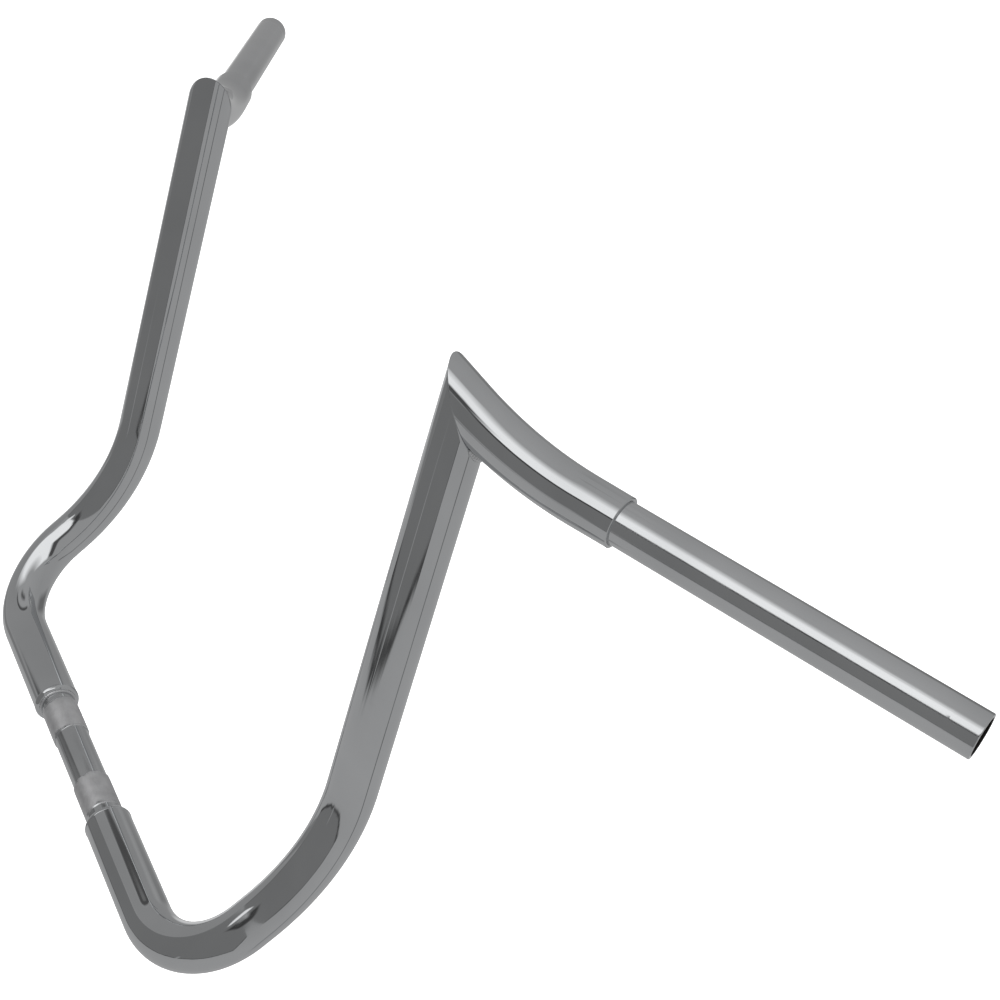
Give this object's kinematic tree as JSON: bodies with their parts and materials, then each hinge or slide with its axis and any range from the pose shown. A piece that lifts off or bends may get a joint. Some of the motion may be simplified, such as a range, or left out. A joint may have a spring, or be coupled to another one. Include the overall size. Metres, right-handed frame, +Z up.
{
  "type": "motorcycle handlebar",
  "caption": "Tall chromed motorcycle handlebar with a thin knurled clamp section, fat bent risers, pointed mitred tops and slim open-ended grip tubes.",
  "frame": {"origin": "middle of the clamp section, on the tube's centreline", "axes": "+X towards the rider's right along the clamp section, +Y forwards, +Z up"},
  "size_m": [0.9764, 0.3095, 0.4393],
  "materials": {
    "polished_chrome": "polished decorative chrome plate over steel tube",
    "grip_chrome": "bright chrome plate with a faint drawn grain along the tube",
    "clamp_steel": "chrome plate, matte and knurled on the two clamp bands",
    "weld_steel": "chrome plate over a dressed weld bead"
  },
  "bodies": {
    "root": {"centre_clamp_tube": "clamp_steel", "left_clamp_reducer": "polished_chrome", "left_clamp_weld": "weld_steel", "left_riser_tube": "polished_chrome", "left_mitre_weld": "weld_steel", "left_top_tube": "polished_chrome", "left_lip_weld": "weld_steel", "left_grip_tube": "grip_chrome", "right_clamp_reducer": "polished_chrome", "right_clamp_weld": "weld_steel", "right_riser_tube": "polished_chrome", "right_mitre_weld": "weld_steel", "right_top_tube": "polished_chrome", "right_lip_weld": "weld_steel", "right_grip_tube": "grip_chrome"}
  },
  "joints": []
}
